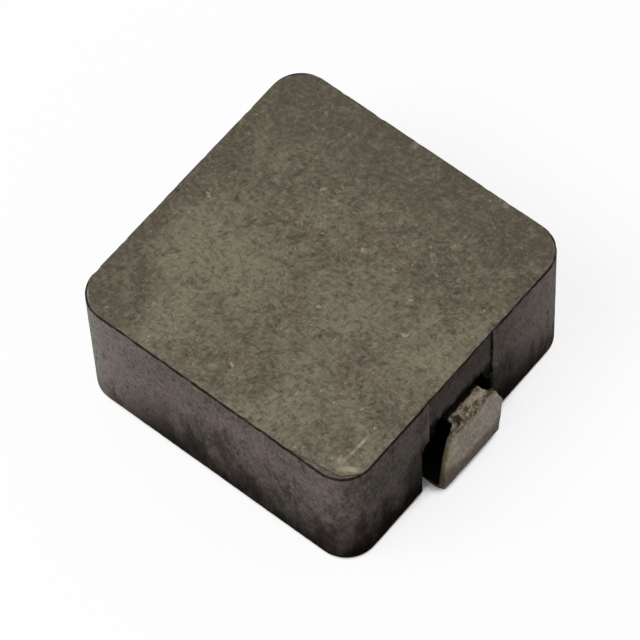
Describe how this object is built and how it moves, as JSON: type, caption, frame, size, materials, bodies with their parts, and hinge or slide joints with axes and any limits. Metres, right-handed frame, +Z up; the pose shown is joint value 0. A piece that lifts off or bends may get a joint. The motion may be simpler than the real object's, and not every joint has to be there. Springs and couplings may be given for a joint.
{
  "type": "shielded smd inductor",
  "caption": "Square moulded power inductor: a pressed powder core round a hidden winding, with folded tinned terminals on opposite sides.",
  "frame": {"origin": "centre of the outline, on the plane of the solder pads' lower faces", "axes": "+X towards the right terminal, +Z up along the winding's axis towards the flat top"},
  "size_m": [0.014, 0.0126, 0.0062],
  "materials": {
    "pressed_powder": "dull grey-green pressed iron powder composite, browner and smeared on the die-formed sides",
    "tinned_copper": "matt hot-dipped tin over copper, cracked and stained at the tight bend",
    "enamelled_copper": "copper under clear enamel, sealed in the core"
  },
  "bodies": {
    "root": {"moulded_core": "pressed_powder", "coil_winding": "enamelled_copper", "terminal_right": "tinned_copper", "terminal_left": "tinned_copper"}
  },
  "joints": []
}
